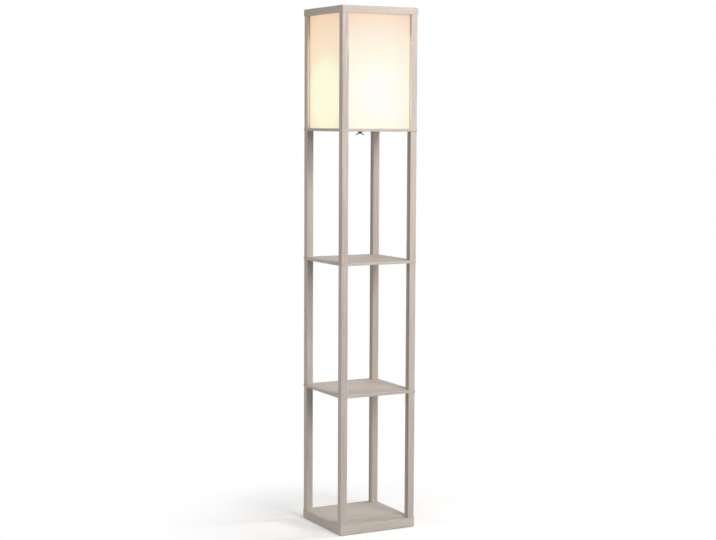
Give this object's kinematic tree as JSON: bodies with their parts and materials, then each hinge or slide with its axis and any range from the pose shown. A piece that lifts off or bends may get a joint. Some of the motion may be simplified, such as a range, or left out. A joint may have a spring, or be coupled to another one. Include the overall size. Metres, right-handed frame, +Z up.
{
  "type": "shelf floor lamp",
  "caption": "Tall square floor lamp: open shelves between slim square posts, with a translucent lit shade box on top and a winged switch key under it.",
  "frame": {"origin": "middle of the footprint, on the floor under the foot pads", "axes": "+Z up along the posts; -Y is the front face, -X the left face"},
  "size_m": [0.258, 0.258, 1.6],
  "materials": {
    "grey_oak_board": "grey-oak woodgrain foil, satin",
    "grey_oak_post": "grey-oak woodgrain foil, satin",
    "grey_oak_rail": "grey-oak woodgrain foil, satin",
    "shade_sheet": "translucent white sheet",
    "insert_brass": "turned",
    "zinc_steel": "zinc plated",
    "beech": "plain beech",
    "felt": "pressed felt",
    "bracket_steel": "zinc plated sheet",
    "holder_plastic": "moulded phenolic",
    "shell_aluminium": "drawn",
    "contact_brass": "spring strip",
    "tip_brass": "soldered",
    "cap_nickel": "nickel plated",
    "bulb_plastic": "white",
    "bulb_opal": "opal diffuser",
    "emitter_plate": "white coated with phosphor chips",
    "switch_plastic": "moulded",
    "switch_metal": "blackened steel",
    "switch_key": "grey moulded key",
    "gland_plastic": "moulded nylon"
  },
  "bodies": {
    "frame": {"base_board": "grey_oak_board", "base_screws": "zinc_steel", "box_floor_studs": "zinc_steel", "bracket_screws": "zinc_steel", "centre_contact": "contact_brass", "cord_gland": "gland_plastic", "foot_pads": "felt", "gland_nut": "gland_plastic", "holder_base": "holder_plastic", "holder_bracket": "bracket_steel", "holder_nipple": "zinc_steel", "holder_shell": "holder_plastic", "lamp_box_floor": "grey_oak_board", "lamp_box_post_front_left": "grey_oak_post", "lamp_box_post_front_right": "grey_oak_post", "lamp_box_post_inserts": "insert_brass", "lamp_box_post_rear_left": "grey_oak_post", "lamp_box_post_rear_right": "grey_oak_post", "lower_post_front_left": "grey_oak_post", "lower_post_front_right": "grey_oak_post", "lower_post_inserts": "insert_brass", "lower_post_rear_left": "grey_oak_post", "lower_post_rear_right": "grey_oak_post", "lower_shelf": "grey_oak_board", "lower_shelf_studs": "zinc_steel", "middle_post_front_left": "grey_oak_post", "middle_post_front_right": "grey_oak_post", "middle_post_inserts": "insert_brass", "middle_post_rear_left": "grey_oak_post", "middle_post_rear_right": "grey_oak_post", "mitre_splines": "beech", "nipple_nut": "zinc_steel", "screw_shell": "shell_aluminium", "shade_panel_front": "shade_sheet", "shade_panel_left": "shade_sheet", "shade_panel_rear": "shade_sheet", "shade_panel_right": "shade_sheet", "switch_body": "switch_plastic", "switch_bushing": "switch_metal", "switch_ring_nut": "switch_metal", "top_frame_dowels": "beech", "top_rail_front": "grey_oak_rail", "top_rail_left": "grey_oak_rail", "top_rail_rear": "grey_oak_rail", "top_rail_right": "grey_oak_rail", "upper_post_front_left": "grey_oak_post", "upper_post_front_right": "grey_oak_post", "upper_post_inserts": "insert_brass", "upper_post_rear_left": "grey_oak_post", "upper_post_rear_right": "grey_oak_post", "upper_shelf": "grey_oak_board", "upper_shelf_studs": "zinc_steel"},
    "switch_key": {"switch_key": "switch_key", "switch_shaft": "switch_metal"},
    "bulb_tip": {"bulb_tip": "tip_brass"},
    "bulb": {"bulb_cap": "cap_nickel", "bulb_housing": "bulb_plastic", "bulb_globe": "bulb_opal", "emitter_plate": "emitter_plate"}
  },
  "joints": [
    {"name": "switch_turn", "type": "hinge", "parent": "frame", "child": "switch_key", "pos_m": [0, 0, 1.222], "axis": [0, 0, 1], "continuous": true},
    {"name": "bulb_lift", "type": "slide", "parent": "frame", "child": "bulb_tip", "axis": [0, 0, 1], "range_m": [0, 0.01089]},
    {"name": "bulb_turn", "type": "hinge", "parent": "bulb_tip", "child": "bulb", "pos_m": [0, 0, 1.282], "axis": [0, 0, 1], "range_deg": [0, 1080]}
  ],
  "couplings": [
    {"joint": "bulb_lift", "follows": "bulb_turn", "m_per_rad": 0.0005775}
  ]
}
